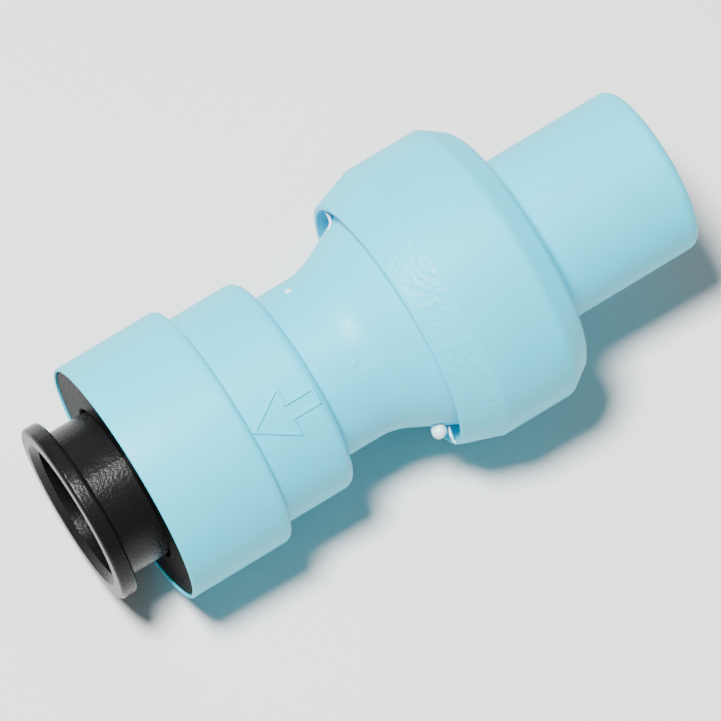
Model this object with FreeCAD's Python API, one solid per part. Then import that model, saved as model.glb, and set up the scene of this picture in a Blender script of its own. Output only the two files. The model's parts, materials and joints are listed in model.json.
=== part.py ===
import FreeCAD, Part
import math
import os

# Push-fit check valve: a 12 mm tube socket at one end, a 15 mm spigot at the other.
# Millimetres. The flow axis is X: -X is the collet end, +X the spigot end, +Z is up.
# A station is a distance along the axis from the front face of the collet.
# The origin is on the axis, halfway along the valve.

# ---- driving dimensions ----
TUBE_R = 6.0
SPIGOT_R = 7.5
OVERALL = 57.0

# Socket body, outside
MOUTH_S = 5.0
SOCKET_END_S = 14.7
STEP_END_S = 21.6
FLARE_S = 26.7
FLARE_END_S = 32.8
SOCKET_R = 10.95
STEP_R = 9.7
NECK_R = 7.55
FLARE_END_R = 10.6
SOCKET_EDGE = 0.7
STEP_EDGE = 1.0

# Spigot cap, outside
LIP_S = 30.7
BAND_END_S = 34.3
CHAMFER_S = 41.0
CHAMFER_END_S = 42.9
CAP_END_S = 43.3
CAP_R = 12.75
LIP_R = 11.45
BAND_STEP = 0.08
CHAMFER_END_R = 11.4
CAP_CORNER = 0.6
SPIGOT_END_ROUND = 1.0

# Waterway and seats
RECESS_R = 10.65
RECESS_END_S = 9.6
COLLET_ROOM_R = 9.0
WASHER_SEAT_S = 18.1
O_RING_ROOM_R = 8.6
O_RING_ROOM_END_S = 20.9
TUBE_BORE_R = TUBE_R + 0.1
TUBE_STOP_S = 24.0
TUBE_STOP_R = TUBE_R + 0.2
WATERWAY_R = 5.0
CONE_S = 27.5
CONE_END_R = 7.9
SPIGOT_BORE_R = 5.4

# Weld joint between the two shells: a flange and a tongue in a stepped bore
FLANGE_R = 11.0
FLANGE_END_S = 34.6
TONGUE_R = 10.4
TONGUE_END_S = 37.6
CARTRIDGE_S = 33.0
CARTRIDGE_END_S = 41.8
CARTRIDGE_R = 9.3

# Collet
FLANGE_THICK = 1.5
COLLET_FLANGE_R = 8.05
COLLET_NECK_R = 6.75
COLLET_LEAD_IN = 0.6
CAM_S = 7.3
CAM_END_S = 9.45
FINGER_R = 8.3
FINGER_END_S = 14.0
SLOT_S = 8.0
SLOT_WIDTH = 0.9
FINGERS = 8
TOOTH_THICK = 0.3
TOOTH_WIDTH = 3.2
TOOTH_TIP_R = TUBE_R + 0.1
TOOTH_ROOT_R = 7.7
TOOTH_S = 11.0
TOOTH_LEAN = 20.0

# Collet retainer, washer and tube seal
RETAINER_S = 5.15
RETAINER_BORE_R = 6.95
RETAINER_CONE_S = 7.2
RETAINER_CONE_R = 8.7
WASHER_THICK = 0.9
WASHER_BORE_R = 6.6
SEAL_SECTION_R = 1.35

# Cartridge: housing, guide, poppet and spring
HOUSING_BORE_R = 7.0
SEAT_HOLE_R = 4.4
SEAT_LAND_R = 5.0
SEAT_LAND_S = 40.4
SEAT_PLATE_S = 40.9
GROOVE_S = 38.0
GROOVE_WIDTH = 1.9
GROOVE_R = 7.9
GUIDE_RING_END_S = 34.4
GUIDE_RING_R = 5.9
GUIDE_HUB_S = 28.8
GUIDE_HUB_END_S = 30.6
GUIDE_HUB_R = 3.4
GUIDE_LEGS = 4
GUIDE_LEG_WIDTH = 1.1
STEM_R = 1.5
STEM_FIT = 0.08
STEM_END_S = 29.2
HEAD_S = 38.5
HEAD_THICK = 1.0
HEAD_R = 5.7
BOSS_R = 2.0
SEAL_R = 5.5
SEAL_GAP = 0.02
RETAINER_CLIP_R = 3.7
RETAINER_CLIP_END_S = 41.1
SPRING_R = 2.6
SPRING_WIRE_R = 0.25
SPRING_TURNS = 5.5
SPRING_STEPS_PER_TURN = 16
SPRING_GAP = 0.03

# Moulded flow arrow on the step: an outline that points from the spigot to the collet
ARROW_TIP_S = 14.95
ARROW_HEAD = 3.4
ARROW_END_S = 20.9
ARROW_HALF = 2.3
ARROW_SHAFT_HALF = 0.8
ARROW_LINE = 0.3
ARROW_HEIGHT = 0.2
ARROW_FROM_TOP = 27.7

# Weld flash: a fine bead in the corner of the joint and one loose bead on it
BEAD_R = 0.2
DROP_R = 0.66
DROP_S = 29.8
DROP_CENTRE_R = 9.7
DROP_FROM_TOP = 104.0

AXIS = FreeCAD.Vector(1, 0, 0)
CENTRE = FreeCAD.Vector(0, 0, 0)


def x_at(station):
    return station - OVERALL / 2


def at(station, radius):
    return FreeCAD.Vector(x_at(station), 0, radius)


def turned(*corners):
    """A ring or disc turned about the axis, from its half section.

    A corner is (station, radius), or (station, radius, rounding).
    """
    edges = []
    ends = []
    count = len(corners)
    for k, corner in enumerate(corners):
        here = at(*corner[:2])
        if len(corner) == 2:
            ends.append((here, here))
            continue
        before = at(*corners[k - 1][:2]) - here
        after = at(*corners[(k + 1) % count][:2]) - here
        before.normalize()
        after.normalize()
        half = before.getAngle(after) / 2
        reach = corner[2] / math.tan(half)
        start = here + before * reach
        end = here + after * reach
        bisector = before + after
        bisector.normalize()
        middle = here + bisector * (corner[2] / math.sin(half) - corner[2])
        edges.append(Part.Arc(start, middle, end).toShape())
        ends.append((start, end))
    for k in range(count):
        start = ends[k][1]
        end = ends[(k + 1) % count][0]
        if start.distanceToPoint(end) > 1e-6:
            edges.append(Part.makeLine(start, end))
    wire = Part.Wire(Part.__sortEdges__(edges))
    return Part.Face(wire).revolve(CENTRE, AXIS, 360)


def turn(shape, degrees):
    """The shape turned about the flow axis; a positive angle takes +Z towards -Y."""
    copy = shape.copy()
    copy.rotate(CENTRE, AXIS, degrees)
    return copy


def ring_of(section_r, ring_r, station):
    """An O-ring or bead: a round section swept round the axis."""
    return Part.makeTorus(ring_r, section_r, FreeCAD.Vector(x_at(station), 0, 0), AXIS)


def block(s0, s1, y0, y1, z0, z1):
    return Part.makeBox(s1 - s0, y1 - y0, z1 - z0, FreeCAD.Vector(x_at(s0), y0, z0))


def arrow_outline():
    """The arrow's raised line, standing on the step's curved surface."""
    head_end = ARROW_TIP_S + ARROW_HEAD
    slope = math.atan2(ARROW_HALF, ARROW_HEAD)
    inset_tip = ARROW_TIP_S + ARROW_LINE / math.sin(slope)
    inset_half = (ARROW_HEAD - ARROW_LINE - ARROW_LINE / math.sin(slope)) * math.tan(slope)
    outer = (
        (ARROW_TIP_S, 0),
        (head_end, ARROW_HALF),
        (head_end, ARROW_SHAFT_HALF),
        (ARROW_END_S, ARROW_SHAFT_HALF),
    )
    inner = (
        (inset_tip, 0),
        (head_end - ARROW_LINE, inset_half),
        (head_end - ARROW_LINE, ARROW_SHAFT_HALF - ARROW_LINE),
        (ARROW_END_S - ARROW_LINE, ARROW_SHAFT_HALF - ARROW_LINE),
    )

    def prism(half_outline):
        mirrored = [(s, -y) for s, y in reversed(half_outline[1:])]
        points = [FreeCAD.Vector(x_at(s), y, 0) for s, y in (*half_outline, *mirrored)]
        face = Part.Face(Part.makePolygon([*points, points[0]]))
        return face.extrude(FreeCAD.Vector(0, 0, SOCKET_R))

    outline = prism(outer).cut(prism(inner))
    sleeve = turned(
        (MOUTH_S, STEP_R - ARROW_HEIGHT),
        (MOUTH_S, STEP_R + ARROW_HEIGHT),
        (STEP_END_S, STEP_R + ARROW_HEIGHT),
        (STEP_END_S, STEP_R - ARROW_HEIGHT),
    )
    return turn(outline.common(sleeve), ARROW_FROM_TOP)


def socket_body():
    shell = turned(
        (MOUTH_S, RECESS_R, 0.1),
        (MOUTH_S, SOCKET_R, 0.15),
        (SOCKET_END_S, SOCKET_R, SOCKET_EDGE),
        (SOCKET_END_S, STEP_R),
        (STEP_END_S, STEP_R, STEP_EDGE),
        (STEP_END_S, NECK_R, 0.25),
        (FLARE_S, NECK_R, 6.0),
        (FLARE_END_S, FLARE_END_R),
        (FLARE_END_S, FLANGE_R),
        (FLANGE_END_S, FLANGE_R),
        (FLANGE_END_S, TONGUE_R),
        (TONGUE_END_S, TONGUE_R),
        (TONGUE_END_S, CARTRIDGE_R),
        (CARTRIDGE_S, CARTRIDGE_R),
        (CARTRIDGE_S, CONE_END_R),
        (CONE_S, WATERWAY_R),
        (TUBE_STOP_S, WATERWAY_R),
        (TUBE_STOP_S, TUBE_STOP_R),
        (O_RING_ROOM_END_S, TUBE_STOP_R),
        (O_RING_ROOM_END_S, O_RING_ROOM_R),
        (WASHER_SEAT_S, O_RING_ROOM_R),
        (WASHER_SEAT_S, COLLET_ROOM_R),
        (RECESS_END_S, COLLET_ROOM_R),
        (RECESS_END_S, RECESS_R),
    )
    return shell.fuse(arrow_outline())


def spigot_cap():
    return turned(
        (LIP_S, FLANGE_R, 0.1),
        (LIP_S, LIP_R, 0.25),
        (BAND_END_S, CAP_R - BAND_STEP),
        (BAND_END_S, CAP_R),
        (CHAMFER_S, CAP_R, 1.2),
        (CHAMFER_END_S, CHAMFER_END_R, 0.4),
        (CAP_END_S, CHAMFER_END_R - CAP_CORNER, 0.4),
        (CAP_END_S, SPIGOT_BORE_R),
        (CARTRIDGE_END_S, SPIGOT_BORE_R),
        (CARTRIDGE_END_S, CARTRIDGE_R),
        (TONGUE_END_S, CARTRIDGE_R),
        (TONGUE_END_S, TONGUE_R),
        (FLANGE_END_S, TONGUE_R),
        (FLANGE_END_S, FLANGE_R),
    )


def spigot_stem():
    """The plain stem on the cap's end face, a node of its own so that it stays a simple tube."""
    return turned(
        (CAP_END_S, SPIGOT_BORE_R),
        (CAP_END_S, SPIGOT_R),
        (OVERALL, SPIGOT_R, SPIGOT_END_ROUND),
        (OVERALL, SPIGOT_BORE_R, 0.3),
    )


def weld_flash(body):
    """The bead in the corner where the flange meets the cap, and one loose drop on the flare."""
    bead = ring_of(BEAD_R, FLANGE_R - BEAD_R, FLARE_END_S - BEAD_R)
    drop = turn(Part.makeSphere(DROP_R, at(DROP_S, DROP_CENTRE_R)), DROP_FROM_TOP)
    return Part.makeCompound([bead.cut(body), drop.cut(body)])


def collet_retainer():
    return turned(
        (RETAINER_S, RETAINER_BORE_R, 0.2),
        (RETAINER_S, RECESS_R, 0.2),
        (RECESS_END_S, RECESS_R),
        (RECESS_END_S, RETAINER_CONE_R),
        (RETAINER_CONE_S, RETAINER_BORE_R),
    )


def backing_washer():
    inner_r = WASHER_BORE_R
    outer_r = COLLET_ROOM_R - 0.02
    start = WASHER_SEAT_S - WASHER_THICK
    return turned((start, inner_r), (start, outer_r), (WASHER_SEAT_S, outer_r), (WASHER_SEAT_S, inner_r))


def tube_o_ring():
    middle_s = (WASHER_SEAT_S + O_RING_ROOM_END_S) / 2
    return ring_of(SEAL_SECTION_R, O_RING_ROOM_R - SEAL_SECTION_R, middle_s)


def grip_tooth():
    """One stainless blade at the top of the bore, leaning in towards the tube's stop."""
    blade = block(
        TOOTH_S, TOOTH_S + TOOTH_THICK, -TOOTH_WIDTH / 2, TOOTH_WIDTH / 2, TOOTH_TIP_R - 1, TOOTH_ROOT_R
    )
    blade.rotate(at(TOOTH_S, TOOTH_TIP_R), FreeCAD.Vector(0, 1, 0), -TOOTH_LEAN)
    tube = Part.makeCylinder(TOOTH_TIP_R, OVERALL, FreeCAD.Vector(x_at(0), 0, 0), AXIS)
    return blade.cut(tube)


def collet_and_teeth():
    """The slotted collet and its teeth, each tooth in a pocket of its own finger."""
    collet = turned(
        (0, TUBE_BORE_R + COLLET_LEAD_IN),
        (0, COLLET_FLANGE_R, 0.35),
        (FLANGE_THICK, COLLET_FLANGE_R, 0.35),
        (FLANGE_THICK, COLLET_NECK_R, 0.2),
        (CAM_S, COLLET_NECK_R),
        (CAM_END_S, FINGER_R, 0.3),
        (FINGER_END_S, FINGER_R, 0.7),
        (FINGER_END_S, TUBE_BORE_R + 0.3),
        (FINGER_END_S - 0.6, TUBE_BORE_R),
        (COLLET_LEAD_IN, TUBE_BORE_R),
    )
    slot = block(SLOT_S, FINGER_END_S + 1, -SLOT_WIDTH / 2, SLOT_WIDTH / 2, 0, SOCKET_R)
    slot_end = Part.makeCylinder(
        SLOT_WIDTH / 2, SOCKET_R, FreeCAD.Vector(x_at(SLOT_S), 0, 0), FreeCAD.Vector(0, 0, 1)
    )
    pitch = 360 / FINGERS
    slots = [turn(slot.fuse(slot_end), pitch * k) for k in range(FINGERS)]
    teeth = [turn(grip_tooth(), pitch * (k + 0.5)) for k in range(FINGERS)]
    return collet.cut(slots).cut(teeth), teeth


def cartridge_housing():
    outer_r = CARTRIDGE_R - 0.03
    return turned(
        (CARTRIDGE_S, HOUSING_BORE_R),
        (CARTRIDGE_S, outer_r, 0.3),
        (GROOVE_S, outer_r),
        (GROOVE_S, GROOVE_R),
        (GROOVE_S + GROOVE_WIDTH, GROOVE_R),
        (GROOVE_S + GROOVE_WIDTH, outer_r),
        (CARTRIDGE_END_S, outer_r, 0.3),
        (CARTRIDGE_END_S, SEAT_HOLE_R + 0.4),
        (CARTRIDGE_END_S - 0.4, SEAT_HOLE_R),
        (SEAT_LAND_S, SEAT_HOLE_R),
        (SEAT_LAND_S, SEAT_LAND_R),
        (SEAT_PLATE_S, SEAT_LAND_R + 0.4),
        (SEAT_PLATE_S, HOUSING_BORE_R),
    )


def cartridge_o_ring():
    section_r = (CARTRIDGE_R - GROOVE_R) / 2
    return ring_of(section_r, GROOVE_R + section_r, GROOVE_S + GROOVE_WIDTH / 2)


def valve_guide():
    """A ring in the housing's mouth, four legs, and the hub that guides the stem."""
    ring = turned(
        (CARTRIDGE_S, GUIDE_RING_R),
        (CARTRIDGE_S, HOUSING_BORE_R),
        (GUIDE_RING_END_S, HOUSING_BORE_R),
        (GUIDE_RING_END_S, GUIDE_RING_R),
    )
    hub = turned(
        (GUIDE_HUB_S, STEM_R + STEM_FIT),
        (GUIDE_HUB_S, GUIDE_HUB_R - 0.6),
        (GUIDE_HUB_S + 0.6, GUIDE_HUB_R),
        (GUIDE_HUB_END_S, GUIDE_HUB_R),
        (GUIDE_HUB_END_S, STEM_R + STEM_FIT),
    )
    leg_outline = [
        at(GUIDE_HUB_END_S - 1.2, GUIDE_HUB_R - 0.4),
        at(GUIDE_HUB_END_S, GUIDE_HUB_R - 0.4),
        at(GUIDE_RING_END_S, GUIDE_RING_R + 0.3),
        at(CARTRIDGE_S, GUIDE_RING_R + 0.3),
    ]
    leg = Part.Face(Part.makePolygon([*leg_outline, leg_outline[0]]))
    leg.translate(FreeCAD.Vector(0, -GUIDE_LEG_WIDTH / 2, 0))
    leg = leg.extrude(FreeCAD.Vector(0, GUIDE_LEG_WIDTH, 0))
    legs = [turn(leg, 360 / GUIDE_LEGS * (k + 0.5)) for k in range(GUIDE_LEGS)]
    return ring.fuse([hub, *legs]).removeSplitter()


def poppet():
    head_end = HEAD_S + HEAD_THICK
    return turned(
        (STEM_END_S, 0),
        (STEM_END_S, STEM_R, 0.4),
        (HEAD_S, STEM_R, 0.4),
        (HEAD_S, HEAD_R, 0.3),
        (head_end, HEAD_R, 0.2),
        (head_end, BOSS_R),
        (RETAINER_CLIP_END_S - 0.2, BOSS_R, 0.3),
        (RETAINER_CLIP_END_S - 0.2, 0),
    )


def poppet_seal():
    start = HEAD_S + HEAD_THICK
    end = SEAT_LAND_S - SEAL_GAP
    return turned((start, BOSS_R), (start, SEAL_R), (end, SEAL_R, 0.15), (end, BOSS_R))


def seal_retainer():
    start = SEAT_LAND_S - SEAL_GAP
    return turned(
        (start, BOSS_R),
        (start, RETAINER_CLIP_R, 0.1),
        (RETAINER_CLIP_END_S, RETAINER_CLIP_R - 0.2, 0.3),
        (RETAINER_CLIP_END_S, BOSS_R),
    )


def return_spring():
    """Round wire, coiled between the guide's hub and the back of the poppet's head."""
    start = GUIDE_HUB_END_S + SPRING_WIRE_R + SPRING_GAP
    length = HEAD_S - SPRING_WIRE_R - SPRING_GAP - start
    steps = round(SPRING_TURNS * SPRING_STEPS_PER_TURN)
    climb = length / (2 * math.pi * SPRING_TURNS)
    sections = []
    for k in range(steps + 1):
        angle = 2 * math.pi * SPRING_TURNS * k / steps
        point = FreeCAD.Vector(SPRING_R * math.cos(angle), SPRING_R * math.sin(angle), length * k / steps)
        tangent = FreeCAD.Vector(-point.y, point.x, climb)
        sections.append(Part.Wire(Part.makeCircle(SPRING_WIRE_R, point, tangent)))
    coil = Part.makeLoft(sections, True, True)
    coil.rotate(CENTRE, FreeCAD.Vector(0, 1, 0), 90)
    coil.translate(FreeCAD.Vector(x_at(start), 0, 0))
    return coil


def main():
    os.makedirs("parts", exist_ok=True)
    collet, teeth = collet_and_teeth()
    body = socket_body()
    nodes = {
        "socket_body": body,
        "spigot_cap": spigot_cap(),
        "spigot_stem": spigot_stem(),
        "weld_flash": weld_flash(body),
        "collet_retainer": collet_retainer(),
        "backing_washer": backing_washer(),
        "tube_o_ring": tube_o_ring(),
        "cartridge_housing": cartridge_housing(),
        "cartridge_o_ring": cartridge_o_ring(),
        "valve_guide": valve_guide(),
        "return_spring": return_spring(),
        "poppet": poppet(),
        "poppet_seal": poppet_seal(),
        "seal_retainer": seal_retainer(),
        "collet": collet,
    }
    for k, tooth in enumerate(teeth):
        nodes[f"grip_tooth_{k + 1}"] = tooth
    for name, shape in nodes.items():
        box = shape.BoundBox
        print(
            f"{name}: {len(shape.Solids)} solid, valid {shape.isValid()}, {shape.Volume:.1f} mm3, "
            f"x {box.XMin:.2f}..{box.XMax:.2f}, z {box.ZMin:.2f}..{box.ZMax:.2f}"
        )
        shape.exportStep(f"parts/{name}.step")


main()
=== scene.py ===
import bmesh
import bpy
import json
import math
from mathutils import Matrix, Vector, noise


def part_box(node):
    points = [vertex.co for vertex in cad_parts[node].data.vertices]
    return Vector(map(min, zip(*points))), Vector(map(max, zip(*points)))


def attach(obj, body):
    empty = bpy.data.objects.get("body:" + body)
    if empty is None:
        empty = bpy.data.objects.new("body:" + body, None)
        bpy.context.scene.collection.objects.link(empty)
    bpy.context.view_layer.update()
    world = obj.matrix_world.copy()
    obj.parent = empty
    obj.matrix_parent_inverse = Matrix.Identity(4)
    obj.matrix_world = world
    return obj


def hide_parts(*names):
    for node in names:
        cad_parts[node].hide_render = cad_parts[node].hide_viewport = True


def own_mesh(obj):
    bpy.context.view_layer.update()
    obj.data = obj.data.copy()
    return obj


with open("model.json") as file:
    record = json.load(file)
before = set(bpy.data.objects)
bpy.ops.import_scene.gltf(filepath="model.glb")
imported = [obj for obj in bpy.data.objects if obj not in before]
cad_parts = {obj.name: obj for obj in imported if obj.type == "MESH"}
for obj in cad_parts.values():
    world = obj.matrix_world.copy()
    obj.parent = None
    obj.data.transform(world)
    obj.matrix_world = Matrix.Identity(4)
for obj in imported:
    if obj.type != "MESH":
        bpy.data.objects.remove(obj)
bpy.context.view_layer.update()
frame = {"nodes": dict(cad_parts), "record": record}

# The flow axis is X. A station is a distance in millimetres from the collet's front face, and an
# angle is measured about the axis from +Z towards -Y, in degrees. A name that ends in S is a
# station, and one that ends in R is a radius.
MM = 0.001
COLLET_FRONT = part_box("collet")[0][0]
SPIGOT_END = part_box("spigot_stem")[1][0]
CAP_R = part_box("spigot_cap")[1][2] / MM
SOCKET_R = 10.95
STEP_R = 9.7
NECK_R = 7.55
SPIGOT_R = 7.5
FLANGE_R = 11.0
TONGUE_R = 10.4
CARTRIDGE_R = 9.3
RECESS_R = 10.65
WATERWAY_R = 5.0
SPIGOT_BORE_R = 5.4
MOUTH_S = 5.0
RECESS_END_S = 9.6
SOCKET_END_S = 14.7
WASHER_SEAT_S = 18.1
O_RING_ROOM_END_S = 20.9
STEP_END_S = 21.6
TUBE_STOP_S = 24.0
FLARE_S = 26.7
LIP_S = 30.7
FLARE_END_S = 32.8
BAND_END_S = 34.3
FLANGE_END_S = 34.6
TONGUE_END_S = 37.6
CARTRIDGE_END_S = 41.8
CAP_END_S = 43.3
OVERALL = (SPIGOT_END - COLLET_FRONT) / MM

# Details
ARROW_TIP_S = 14.95
ARROW_HEAD = 3.4
ARROW_END_S = 20.9
ARROW_HALF = 2.15
ARROW_SHAFT_HALF = 0.66
ARROW_ANGLE = 27.7
PARTING_ANGLE = -6.5
PARTING_HEIGHT = 0.04
PARTING_HALF_WIDTH = 0.2
GRAIN_HEIGHT = 0.08
GRAIN_MM = 0.36
BEAD_R = 0.2
SPRING_R = 2.6
SPRING_WIRE_R = 0.25
SPRING_TURNS = 6.5

# Camera: a long lens at the photograph's angle
AZIMUTH = -32.5
ELEVATION = 70.7
DISTANCE = 0.5
PIXELS_PER_MM = 12.1
AIM_RIGHT_MM = -0.37
AIM_UP_MM = -1.77
IMAGE_SIDE = 721
SENSOR_MM = 36.0


def x_at(station):
    return COLLET_FRONT + station * MM


def on_axis(station, radius, angle):
    """A point in metres from a station and radius in millimetres and an angle in degrees."""
    a = math.radians(angle)
    return Vector((x_at(station), -radius * math.sin(a) * MM, radius * math.cos(a) * MM))


# ---- materials ----
SHELL_BLUE = (0.01, 0.61, 0.82)
SHELL_PALE = (0.015, 0.65, 0.86)
BLACK = (0.004, 0.004, 0.0045)
BLACK_PALE = (0.007, 0.007, 0.0075)
NATURAL = (0.68, 0.68, 0.62)
NATURAL_PALE = (0.76, 0.76, 0.70)
STAINLESS = (0.62, 0.62, 0.60)

NOISE_SPAN = (0.3, 0.7)
CLOUD_MM = 9.0
SCUFF_MM = 1.6
SCUFF_STRETCH = (0.25, 1.0, 1.0)
GLOSS_SPREAD = 0.06
METAL_SPREAD = 0.08


def nodes_of(name):
    """A new material, its node tree, its shader and its object coordinates."""
    mat = bpy.data.materials.new(name)
    mat.use_nodes = True
    tree = mat.node_tree
    shader = tree.nodes["Principled BSDF"]
    place = tree.nodes.new("ShaderNodeTexCoord").outputs["Object"]
    return mat, tree, shader, place


def noise_node(tree, place, grain_mm, detail=3.0, stretch=None):
    """Noise whose features are about grain_mm across."""
    node = tree.nodes.new("ShaderNodeTexNoise")
    node.inputs["Scale"].default_value = 1.0 / (grain_mm * MM)
    node.inputs["Detail"].default_value = detail
    if stretch is None:
        tree.links.new(place, node.inputs["Vector"])
        return node.outputs["Fac"]
    mapping = tree.nodes.new("ShaderNodeMapping")
    mapping.inputs["Scale"].default_value = stretch
    tree.links.new(place, mapping.inputs["Vector"])
    tree.links.new(mapping.outputs["Vector"], node.inputs["Vector"])
    return node.outputs["Fac"]


def remap(tree, value, low, high, to_low, to_high):
    """The value, moved from one span to another and kept inside it."""
    node = tree.nodes.new("ShaderNodeMapRange")
    ends = {"From Min": low, "From Max": high, "To Min": to_low, "To Max": to_high}
    for key, number in ends.items():
        node.inputs[key].default_value = number
    tree.links.new(value, node.inputs["Value"])
    return node.outputs["Result"]


def mix_colour(tree, factor, first, second):
    """A blend of two colours, each a tuple or a socket."""
    node = tree.nodes.new("ShaderNodeMix")
    node.data_type = "RGBA"
    tree.links.new(factor, node.inputs["Factor"])
    for socket, colour in ((node.inputs[6], first), (node.inputs[7], second)):
        if isinstance(colour, tuple):
            socket.default_value = (*colour, 1.0)
        else:
            tree.links.new(colour, socket)
    return node.outputs[2]


def bump(tree, height, depth_mm, below=None):
    """A bumped normal, on top of another one if it is given."""
    node = tree.nodes.new("ShaderNodeBump")
    node.inputs["Distance"].default_value = depth_mm * MM
    node.inputs["Strength"].default_value = 1.0
    tree.links.new(height, node.inputs["Height"])
    if below is not None:
        tree.links.new(below, node.inputs["Normal"])
    return node.outputs["Normal"]


def plastic(name, colour, pale, roughness,
            grain_mm=0.25, grain_depth=0.004, wave_depth=0.01, wave_mm=3.0):
    """Moulded plastic: cloudy colour, uneven gloss, a fine grain and slow sink marks."""
    mat, tree, shader, place = nodes_of(name)
    cloud = noise_node(tree, place, CLOUD_MM)
    fine = noise_node(tree, place, grain_mm, 4.0)
    wave = noise_node(tree, place, wave_mm, 1.0)
    scrapes = noise_node(tree, place, SCUFF_MM, 6.0, SCUFF_STRETCH)
    scuff = remap(tree, scrapes, 0.66, 0.74, 0.0, 0.35)
    body = mix_colour(tree, remap(tree, cloud, *NOISE_SPAN, 0.0, 1.0), colour, pale)
    worn = tuple(min(1.0, channel * 1.12 + 0.01) for channel in pale)
    gloss = remap(tree, fine, *NOISE_SPAN, roughness - GLOSS_SPREAD, roughness + GLOSS_SPREAD)
    tree.links.new(mix_colour(tree, scuff, body, worn), shader.inputs["Base Color"])
    tree.links.new(gloss, shader.inputs["Roughness"])
    slow = bump(tree, wave, wave_depth)
    tree.links.new(bump(tree, fine, grain_depth, slow), shader.inputs["Normal"])
    return mat, shader


def metal(name, colour, roughness, stretch):
    """Drawn or rolled stainless steel with fine lines along the metal."""
    mat, tree, shader, place = nodes_of(name)
    lines = noise_node(tree, place, 0.3, 4.0, stretch)
    tint = tuple(channel * 0.75 for channel in colour)
    gloss = remap(tree, lines, *NOISE_SPAN, roughness - METAL_SPREAD, roughness + METAL_SPREAD)
    tree.links.new(mix_colour(tree, lines, tint, colour), shader.inputs["Base Color"])
    tree.links.new(gloss, shader.inputs["Roughness"])
    tree.links.new(bump(tree, lines, 0.003), shader.inputs["Normal"])
    shader.inputs["Metallic"].default_value = 1.0
    return mat


def shell_plastic():
    """The pale blue moulding, a little translucent."""
    mat, shader = plastic("shell_plastic", SHELL_BLUE, SHELL_PALE, 0.42)
    shader.inputs["Specular IOR Level"].default_value = 0.3
    shader.inputs["Subsurface Weight"].default_value = 0.08
    shader.inputs["Subsurface Radius"].default_value = (0.001, 0.0015, 0.002)
    shader.inputs["Subsurface Scale"].default_value = 0.6
    return mat


def black_plastic(name, roughness, grain_mm, grain_depth, wave_depth, specular):
    """Black moulding with short waves in its surface and its own strength of reflection."""
    mat, shader = plastic(
        name, BLACK, BLACK_PALE, roughness, grain_mm, grain_depth, wave_depth, wave_mm=1.6
    )
    shader.inputs["Specular IOR Level"].default_value = specular
    return mat


def plain_plastic(*choices):
    """Moulded plastic whose shader is left as plastic() makes it."""
    return plastic(*choices)[0]


materials = {
    "shell_plastic": shell_plastic(),
    # Pale colour of the pressed-out flash; on the two flakes at the lip's rim it also serves as a
    # painted highlight.
    "weld_plastic": plain_plastic(
        "weld_plastic", (0.60, 0.84, 0.88), (0.78, 0.92, 0.94), 0.3, 0.15, 0.02
    ),
    "retainer_plastic": black_plastic("retainer_plastic", 0.45, 0.3, 0.01, 0.02, 0.02),
    "washer_plastic": plain_plastic("washer_plastic", (0.7, 0.7, 0.66), (0.78, 0.78, 0.74), 0.5),
    "seal_rubber": plain_plastic(
        "seal_rubber", (0.012, 0.012, 0.012), (0.02, 0.02, 0.02), 0.55, 0.12, 0.004
    ),
    "cartridge_plastic": plain_plastic("cartridge_plastic", NATURAL, NATURAL_PALE, 0.4),
    "spring_steel": metal("spring_steel", STAINLESS, 0.28, (1.0, 0.2, 0.2)),
    "poppet_plastic": plain_plastic("poppet_plastic", (0.03, 0.10, 0.34), (0.04, 0.13, 0.40), 0.35),
    "clip_steel": metal("clip_steel", STAINLESS, 0.3, (1.0, 0.3, 1.0)),
    "collet_plastic": black_plastic("collet_plastic", 0.27, 0.22, 0.03, 0.02, 0.13),
    "tooth_steel": metal("tooth_steel", (0.66, 0.66, 0.64), 0.25, (0.3, 1.0, 1.0)),
}

slot_of = {part["node"]: part["material_slot"] for part in frame["record"]["subparts"]}
for node_name, cad_object in frame["nodes"].items():
    cad_object.data.materials.clear()
    cad_object.data.materials.append(materials[slot_of[node_name]])


# ---- meshes ----
def rounded(corners, steps=8):
    """A closed half section as (station, radius) points, with each rounded corner as a fine arc."""
    points = []
    count = len(corners)
    for k, corner in enumerate(corners):
        here = Vector(corner[:2])
        if len(corner) == 2:
            points.append(here)
            continue
        before = (Vector(corners[k - 1][:2]) - here).normalized()
        after = (Vector(corners[(k + 1) % count][:2]) - here).normalized()
        half = before.angle(after) / 2
        centre = here + (before + after).normalized() * (corner[2] / math.sin(half))
        start = here + before * (corner[2] / math.tan(half)) - centre
        end = here + after * (corner[2] / math.tan(half)) - centre
        first = math.atan2(start.y, start.x)
        sweep = (math.atan2(end.y, end.x) - first + math.pi) % math.tau - math.pi
        for j in range(steps + 1):
            angle = first + sweep * j / steps
            points.append(centre + Vector((math.cos(angle), math.sin(angle))) * corner[2])
    return points


def finer(points, first, last, spacing):
    """The same half section with extra points on its outside between two stations."""
    found = []
    for k, here in enumerate(points):
        found.append(here)
        after = points[(k + 1) % len(points)]
        outside = after.x > here.x and min(here.y, after.y) > SPIGOT_R
        if outside and here.x >= first - 0.5 and after.x <= last + 0.1:
            cuts = int((after - here).length / spacing)
            found += [here.lerp(after, (j + 1) / (cuts + 1)) for j in range(cuts)]
    return found


def piece(name, mesh_source, body, slot_name, *replaced):
    """A finished mesh as a piece that rides on a body, in one of the record's finishes."""
    mesh = bpy.data.meshes.new(name)
    bmesh.ops.recalc_face_normals(mesh_source, faces=mesh_source.faces)
    mesh_source.to_mesh(mesh)
    mesh_source.free()
    for face in mesh.polygons:
        face.use_smooth = True
    mesh.set_sharp_from_angle(angle=math.radians(32))
    mesh.materials.append(materials[slot_name])
    made = bpy.data.objects.new(name, mesh)
    bpy.context.collection.objects.link(made)
    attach(made, body)
    if replaced:
        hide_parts(*replaced)
    return made


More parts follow.
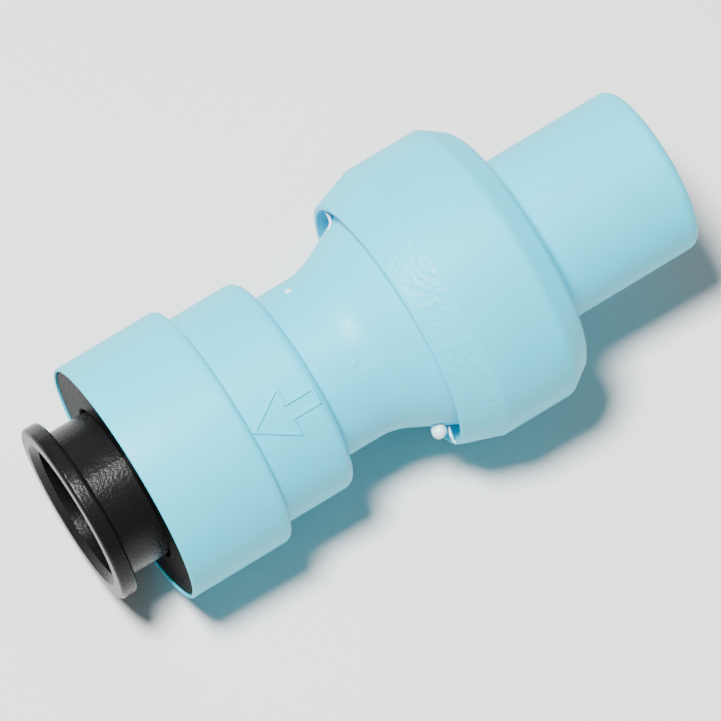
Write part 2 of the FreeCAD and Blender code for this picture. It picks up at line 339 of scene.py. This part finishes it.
def lathe(points, segments=240, relief=None):
    """A closed half section turned about the axis; relief adds millimetres to the radius."""
    made = bmesh.new()
    rings = []
    for k in range(segments):
        angle = 360 * k / segments
        ring = []
        for point in points:
            lift = relief(point.x, point.y, angle) if relief else 0.0
            ring.append(made.verts.new(on_axis(point.x, point.y + lift, angle)))
        rings.append(ring)
    for k in range(segments):
        here = rings[k]
        after = rings[(k + 1) % segments]
        for j in range(len(points)):
            i = (j + 1) % len(points)
            made.faces.new((here[j], here[i], after[i], after[j]))
    return made


def sweep(made, sections, closed):
    """Join rings of vertices into a tube; an open tube gets a cap at each end."""
    count = len(sections)
    for k in range(count if closed else count - 1):
        here = sections[k]
        after = sections[(k + 1) % count]
        for j in range(len(here)):
            i = (j + 1) % len(here)
            made.faces.new((here[j], here[i], after[i], after[j]))
    if not closed:
        made.faces.new(sections[0])
        made.faces.new(reversed(sections[-1]))


SOCKET_SECTION = (
    (MOUTH_S, RECESS_R, 0.1),
    (MOUTH_S, SOCKET_R, 0.15),
    (SOCKET_END_S, SOCKET_R, 0.7),
    (SOCKET_END_S, STEP_R, 0.12),
    (STEP_END_S, STEP_R, 1.0),
    (STEP_END_S, NECK_R, 0.3),
    (FLARE_S, NECK_R, 6.0),
    (FLARE_END_S, 10.6),
    (FLARE_END_S, FLANGE_R),
    (FLANGE_END_S, FLANGE_R),
    (FLANGE_END_S, TONGUE_R),
    (TONGUE_END_S, TONGUE_R),
    (TONGUE_END_S, CARTRIDGE_R),
    (33.0, CARTRIDGE_R),
    (33.0, 7.9),
    (27.5, WATERWAY_R, 0.6),
    (TUBE_STOP_S, WATERWAY_R, 0.2),
    (TUBE_STOP_S, 6.2),
    (O_RING_ROOM_END_S, 6.2, 0.15),
    (O_RING_ROOM_END_S, 8.6),
    (WASHER_SEAT_S, 8.6, 0.1),
    (WASHER_SEAT_S, 9.0),
    (RECESS_END_S, 9.0, 0.15),
    (RECESS_END_S, RECESS_R),
)
CAP_SECTION = (
    (LIP_S, FLANGE_R, 0.1),
    (LIP_S, 11.45, 0.22),
    (BAND_END_S, CAP_R - 0.08, 0.05),
    (BAND_END_S, CAP_R, 0.03),
    (41.0, CAP_R, 1.2),
    (42.9, 11.4, 0.4),
    (CAP_END_S, 10.8, 0.4),
    (CAP_END_S, SPIGOT_R, 0.25),
    (OVERALL, SPIGOT_R, 1.0),
    (OVERALL, SPIGOT_BORE_R, 0.3),
    (CARTRIDGE_END_S, SPIGOT_BORE_R, 0.2),
    (CARTRIDGE_END_S, CARTRIDGE_R),
    (TONGUE_END_S, CARTRIDGE_R, 0.15),
    (TONGUE_END_S, TONGUE_R),
    (FLANGE_END_S, TONGUE_R, 0.1),
    (FLANGE_END_S, FLANGE_R),
)


def socket_shell():
    """The socket body, with the raised arrow as a piece of its own."""
    points = rounded(SOCKET_SECTION)
    piece("socket_shell", lathe(points), "valve_body", "shell_plastic", "socket_body")
    raised = bmesh.new()
    flow_arrow(raised)
    piece("flow_arrow", raised, "valve_body", "shell_plastic")


def flow_arrow(made):
    """The arrow's raised line, rounded over, laid on the step's curved surface."""
    head_end = ARROW_TIP_S + ARROW_HEAD
    half = (
        (ARROW_TIP_S + 0.1, 0.0),
        (head_end, ARROW_HALF),
        (head_end, ARROW_SHAFT_HALF),
        (ARROW_END_S, ARROW_SHAFT_HALF),
    )
    corners = [Vector(p) for p in half] + [Vector((s, -y)) for s, y in reversed(half[1:])]
    count = len(corners)
    sections = []
    for k, here in enumerate(corners):
        before = (here - corners[k - 1]).normalized()
        after = (corners[(k + 1) % count] - here).normalized()
        mitre = Vector((-before.y - after.y, before.x + after.x)).normalized()
        mitre /= max(0.35, mitre.dot(Vector((-after.y, after.x))))
        sections.append((here, mitre))
        run = (corners[(k + 1) % count] - here).length
        square = Vector((-after.y, after.x))
        steps = int(run / 0.3)
        for j in range(1, steps):
            sections.append((here.lerp(corners[(k + 1) % count], j / steps), square))
    profile = (
        (-0.17, -0.08), (-0.15, 0.06), (-0.08, 0.15), (0.0, 0.17),
        (0.08, 0.15), (0.15, 0.06), (0.17, -0.08),
    )
    rings = []
    for place, across in sections:
        ring = []
        for offset, height in profile:
            point = place + across * offset
            angle = ARROW_ANGLE + math.degrees(point.y / STEP_R)
            ring.append(made.verts.new(on_axis(point.x, STEP_R + height, angle)))
        rings.append(ring)
    sweep(made, rings, True)


def cap_shell():
    """The cap and its stem, with the band's grain and the two parting lines as real relief."""
    def relief(station, radius, angle):
        if station > BAND_END_S and radius > SPIGOT_R - 0.2:
            off_line = abs((angle - PARTING_ANGLE + 90) % 180 - 90) * math.radians(radius)
            return PARTING_HEIGHT * max(0.0, 1 - off_line / PARTING_HALF_WIDTH)
        inside = min(station - LIP_S - 0.4, BAND_END_S - 0.25 - station)
        if inside < 0 or radius < 11.45:
            return 0.0
        grain = noise.noise(on_axis(station, radius, angle) / (GRAIN_MM * MM))
        return min(1.0, inside / 0.3) * GRAIN_HEIGHT * max(-0.4, grain)

    points = finer(rounded(CAP_SECTION), LIP_S, BAND_END_S, 0.16)
    turned = lathe(points, 480, relief)
    piece("cap_shell", turned, "valve_body", "shell_plastic", "spigot_cap", "spigot_stem")


def strand(made, path, closed=False, sides=10):
    """A rounded strand through (station, radius, angle, size) points."""
    middles = [on_axis(*point[:3]) for point in path]
    rings = []
    for k, middle in enumerate(middles):
        before = middles[k - 1] if closed or k else middle
        after = middles[(k + 1) % len(path)] if closed else middles[min(k + 1, len(path) - 1)]
        along = (after - before).normalized()
        across = along.cross(Vector((0.3, middle.y / MM, middle.z / MM))).normalized()
        over = across.cross(along)
        ring = []
        for j in range(sides):
            turn = math.tau * j / sides
            offset = across * math.cos(turn) + over * math.sin(turn)
            ring.append(made.verts.new(middle + offset * path[k][3] * MM))
        rings.append(ring)
    sweep(made, rings, closed)


def lump(made, station, radius, angle, size, flatness=1.0, unevenness=0.2):
    """A blob on the surface; flatness squashes it towards the axis."""
    place = Matrix.Translation(on_axis(station, radius, angle))
    turn = Matrix.Rotation(math.radians(angle), 4, "X")
    shape = place @ turn @ Matrix.Diagonal((1, 1, flatness, 1))
    found = bmesh.ops.create_uvsphere(
        made, u_segments=28, v_segments=16, radius=size * MM, matrix=shape
    )
    for vert in found["verts"]:
        swell = 1 + unevenness * noise.noise(vert.co / (0.6 * MM))
        vert.co = place.translation + (vert.co - place.translation) * swell


def weld_bead_and_painted_highlight():
    """Plastic pressed out of the joint: a bead, a drop, two flakes and a speck on the neck. The two
    flakes lie at the lip's rim, and their pale colour is partly a painted highlight of the rim.
    """
    made = bmesh.new()
    bead = []
    for k in range(360):
        size = BEAD_R + 0.07 * noise.noise(on_axis(FLARE_END_S, FLANGE_R, k) / (0.9 * MM))
        bead.append((FLARE_END_S - BEAD_R, FLANGE_R - BEAD_R, k, size))
    strand(made, bead, True)
    lump(made, 29.8, 9.7, 104, 0.66)
    # Flake of flash across the lip's rim at the bottom; its pale colour is also a painted highlight
    # of the rim face.
    strand(made, (
        (30.75, 9.8, 105.6, 0.06), (30.6, 10.2, 106, 0.12), (30.5, 10.6, 106.3, 0.14),
        (30.48, 11.0, 106.5, 0.13), (30.55, 11.3, 106.5, 0.06),
    ))
    # Flake of flash on the flare under the lip's rim at the top; its pale colour is also a painted
    # highlight of the rim.
    strand(made, (
        (31.1, 10.95, -70, 0.05), (31.0, 10.6, -68, 0.09), (30.95, 10.2, -66, 0.12),
        (30.8, 9.85, -64, 0.13), (30.5, 9.6, -63, 0.1), (30.15, 9.4, -63, 0.04),
    ))
    lump(made, 24.4, 7.55, -44.5, 0.3, 0.5)
    piece("weld_bead_and_painted_highlight", made, "valve_body", "weld_plastic", "weld_flash")


def gate_mark():
    """The trimmed gate on the neck, and a scrape beside it."""
    made = bmesh.new()
    lump(made, 25.4, 7.52, 26.3, 0.3, 0.25)
    strand(made, (
        (26.9, 7.56, 8, 0.03), (26.7, 7.56, 10, 0.05), (26.5, 7.55, 12, 0.05),
        (26.3, 7.54, 15, 0.03),
    ))
    piece("gate_mark", made, "valve_body", "shell_plastic")


def return_spring():
    """Round wire with close end coils."""
    low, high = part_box("return_spring")
    wire = SPRING_WIRE_R * MM
    radius = SPRING_R * MM
    start = low[0] + wire
    length = high[0] - wire - start
    steps = int(SPRING_TURNS * 40)
    close_turns = 0.9
    made = bmesh.new()
    rings = []
    for k in range(steps + 1):
        share = k / steps
        angle = math.tau * SPRING_TURNS * share
        near_end = min(share, 1 - share) * SPRING_TURNS
        eased = max(0.0, near_end - close_turns) / (SPRING_TURNS / 2 - close_turns)
        climb = 0.5 * (1.04 * eased + 0.16 * min(1.0, near_end / close_turns)) / 1.2
        climb = climb if share < 0.5 else 1 - climb
        y = math.cos(angle)
        z = math.sin(angle)
        out = Vector((0, y, z))
        middle = Vector((start + length * climb, radius * y, radius * z))
        ring = []
        for j in range(12):
            turn = math.tau * j / 12
            offset = out * math.cos(turn) + Vector((1, 0, 0)) * math.sin(turn)
            ring.append(made.verts.new(middle + offset * wire))
        rings.append(ring)
    sweep(made, rings, False)
    spring = piece("coil_spring", made, "valve_body", "spring_steel", "return_spring")
    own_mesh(spring)


# ---- floor, light and camera ----
def stage_floor():
    """A pale floor, tilted so that it touches both the cap and the rim of the socket."""
    cap_touch = x_at(BAND_END_S)
    socket_touch = x_at(MOUTH_S + 0.3)
    lean = math.atan2((CAP_R - SOCKET_R) * MM, cap_touch - socket_touch)
    bpy.ops.mesh.primitive_plane_add(size=3.0)
    floor = bpy.context.object
    floor.name = "floor"
    floor.location = (cap_touch, 0, -CAP_R * MM)
    floor.rotation_euler = (0, lean, 0)
    mat, tree, shader, place = nodes_of("floor_paper")
    grain = noise_node(tree, place, 0.6, 4.0)
    paper = mix_colour(tree, grain, (0.70, 0.70, 0.69), (0.74, 0.74, 0.73))
    tree.links.new(paper, shader.inputs["Base Color"])
    shader.inputs["Roughness"].default_value = 0.8
    floor.data.materials.append(mat)


def direction(azimuth, elevation):
    """The unit vector towards an azimuth, 0 at -Y, and an elevation, both in degrees."""
    a = math.radians(azimuth)
    e = math.radians(elevation)
    return Vector((math.sin(a) * math.cos(e), -math.cos(a) * math.cos(e), math.sin(e)))


def soft_light(name, azimuth, elevation, distance, diameter, power):
    """A round lamp that points at the origin."""
    data = bpy.data.lights.new(name, "AREA")
    data.shape = "DISK"
    data.size = diameter
    data.energy = power
    lamp = bpy.data.objects.new(name, data)
    lamp.location = direction(azimuth, elevation) * distance
    lamp.rotation_euler = lamp.location.to_track_quat("Z", "Y").to_euler()
    bpy.context.collection.objects.link(lamp)


def lights():
    soft_light("key", -115, 78, 0.55, 0.12, 10.0)
    soft_light("fill", 60, 40, 0.8, 0.6, 0.2)
    soft_light("back", 170, 30, 0.8, 0.5, 0.4)
    world = bpy.data.worlds.new("studio")
    world.use_nodes = True
    background = world.node_tree.nodes["Background"]
    background.inputs["Color"].default_value = (1, 1, 1, 1)
    background.inputs["Strength"].default_value = 0.2
    bpy.context.scene.world = world


def camera():
    back = direction(AZIMUTH, ELEVATION)
    turn = back.to_track_quat("Z", "Y")
    right = turn @ Vector((1, 0, 0))
    up = turn @ Vector((0, 1, 0))
    data = bpy.data.cameras.new("camera")
    data.sensor_width = SENSOR_MM
    data.lens = PIXELS_PER_MM * DISTANCE / MM / IMAGE_SIDE * SENSOR_MM
    data.clip_end = 10.0
    view = bpy.data.objects.new("camera", data)
    aim = (right * AIM_RIGHT_MM + up * AIM_UP_MM) * MM
    view.location = aim + back * DISTANCE
    view.rotation_euler = turn.to_euler()
    bpy.context.collection.objects.link(view)
    bpy.context.scene.camera = view


socket_shell()
cap_shell()
weld_bead_and_painted_highlight()
gate_mark()
return_spring()
stage_floor()
lights()
camera()

bpy.context.view_layer.update()
